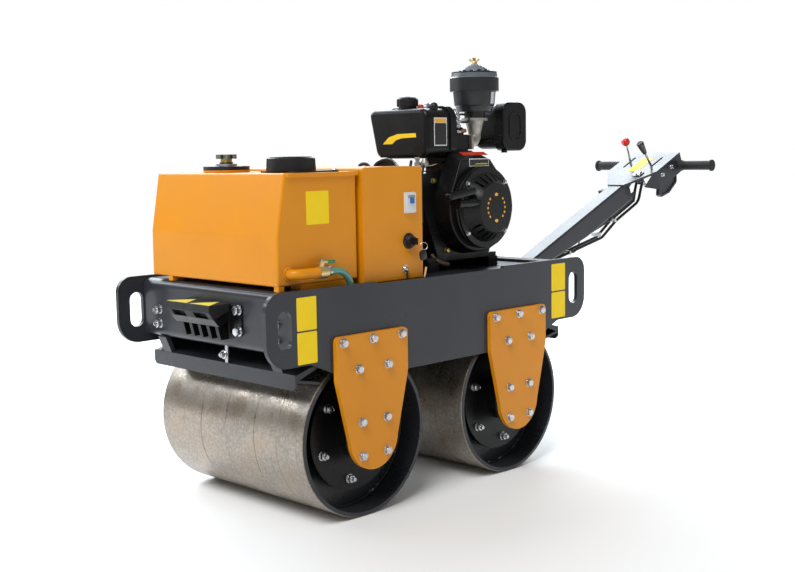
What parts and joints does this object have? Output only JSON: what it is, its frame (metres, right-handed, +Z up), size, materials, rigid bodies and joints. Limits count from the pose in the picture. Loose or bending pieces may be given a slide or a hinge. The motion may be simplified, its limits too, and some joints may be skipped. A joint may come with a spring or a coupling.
{
  "type": "walk-behind double drum road roller",
  "caption": "Walk-behind road roller with two smooth steel drums under a plate frame, a water tank, an equipment box, an open engine and a folding steering handle.",
  "frame": {"origin": "on the ground, under the middle of the whole machine's box", "axes": "+X forwards, towards the water tank; +Y to the machine's left; +Z up"},
  "size_m": [2.1632, 0.667, 1.2],
  "materials": {
    "frame_paint": "satin graphite grey enamel",
    "body_paint": "satin orange enamel",
    "drum_steel": "bare rolled steel with fine scratches round it",
    "black_plastic": "matte",
    "grey_plastic": "matte",
    "red_plastic": "glossy",
    "black_rubber": "matte moulded",
    "engine_paint": "satin black enamel",
    "bare_metal": "die cast, bare",
    "cast_alloy": "cast, bare",
    "brass": "satin",
    "teal_hose": "translucent teal, glossy"
  },
  "bodies": {
    "chassis": {"side_plate_left": "frame_paint", "side_plate_right": "frame_paint", "front_cross_member": "frame_paint", "rear_cross_member": "frame_paint", "engine_deck": "frame_paint", "axle_carriers": "frame_paint", "front_scraper": "frame_paint", "rear_scraper": "frame_paint", "spray_pipes": "frame_paint", "drum_bracket_front_left": "body_paint", "drum_bracket_front_right": "body_paint", "drum_bracket_rear_left": "body_paint", "drum_bracket_rear_right": "body_paint", "water_tank": "body_paint", "filler_cap": "black_plastic", "vent_cap": "bare_metal", "outlet_pipe": "body_paint", "outlet_valve": "brass", "water_hose": "teal_hose", "equipment_box": "body_paint", "main_breaker": "grey_plastic", "key_switch": "black_plastic", "wheel_chock": "black_rubber", "chock_holder": "frame_paint", "engine_rails": "frame_paint", "crankcase": "engine_paint", "cylinder": "engine_paint", "blower_housing": "engine_paint", "recoil_starter": "engine_paint", "fuel_tank": "engine_paint", "fuel_cap": "black_plastic", "air_cleaner": "engine_paint", "intake_elbow": "cast_alloy", "muffler": "engine_paint", "belt_guard": "body_paint", "handle_pivot": "frame_paint"},
    "front_drum": {"front_drum": "drum_steel", "front_drum_hubs": "frame_paint"},
    "rear_drum": {"rear_drum": "drum_steel", "rear_drum_hubs": "frame_paint"},
    "handle": {"handle_arm": "frame_paint", "console": "frame_paint", "console_guard": "frame_paint", "handlebar": "frame_paint", "grips": "black_rubber", "throttle_lever": "red_plastic", "travel_lever": "black_plastic", "start_button": "black_plastic", "control_cables": "black_rubber"}
  },
  "joints": [
    {"name": "front_drum_spin", "type": "hinge", "parent": "chassis", "child": "front_drum", "pos_m": [0.74964, 0, 0.2125], "axis": [0, 1, 0], "continuous": true},
    {"name": "rear_drum_spin", "type": "hinge", "parent": "chassis", "child": "rear_drum", "pos_m": [0.16964, 0, 0.2125], "axis": [0, 1, 0], "continuous": true},
    {"name": "handle_fold", "type": "hinge", "parent": "chassis", "child": "handle", "pos_m": [-0.14036, 0, 0.49], "axis": [0, 1, 0], "range_deg": [0, 65]}
  ]
}
